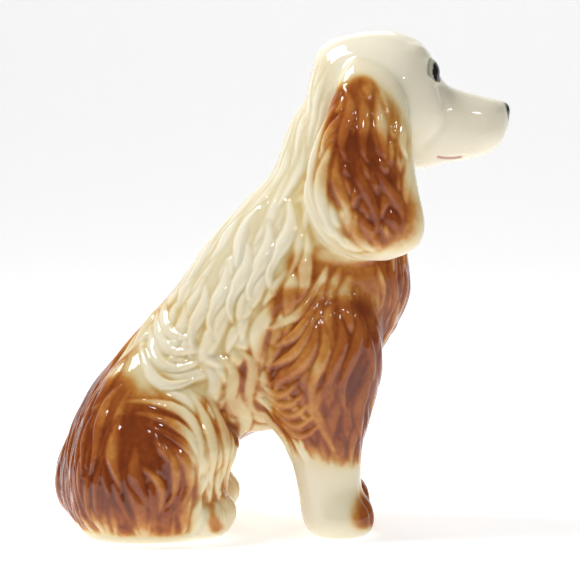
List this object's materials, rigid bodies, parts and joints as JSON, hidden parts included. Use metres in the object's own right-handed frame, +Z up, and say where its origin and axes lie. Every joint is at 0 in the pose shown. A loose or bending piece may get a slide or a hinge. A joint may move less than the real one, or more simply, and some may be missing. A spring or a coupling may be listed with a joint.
{
  "type": "sitting dog figurine",
  "caption": "Sitting long-eared spaniel figurine in glazed ceramic, hollow cast in joined sections, with wavy modelled coat and a flat unglazed sole with a drain hole.",
  "frame": {"origin": "on the table plane, under the middle of the figure's box", "axes": "+X is where the dog faces, +Y is the dog's left side, +Z is up through the skull"},
  "size_m": [0.1785, 0.0846, 0.194],
  "materials": {
    "cream_glaze": "clear gloss glaze over cream earthenware",
    "russet_glaze": "clear gloss glaze over airbrushed russet stain",
    "black_enamel": "fired black enamel under gloss glaze",
    "biscuit": "unglazed biscuit"
  },
  "bodies": {
    "root": {"torso_casting": "cream_glaze", "head_casting": "cream_glaze", "left_ear": "russet_glaze", "right_ear": "russet_glaze", "left_foreleg": "russet_glaze", "right_foreleg": "russet_glaze", "left_haunch": "russet_glaze", "right_haunch": "russet_glaze", "left_hind_paw": "cream_glaze", "right_hind_paw": "cream_glaze", "tail": "russet_glaze", "base_sole": "biscuit", "left_eye": "black_enamel", "right_eye": "black_enamel", "nose_pad": "black_enamel"}
  },
  "joints": []
}
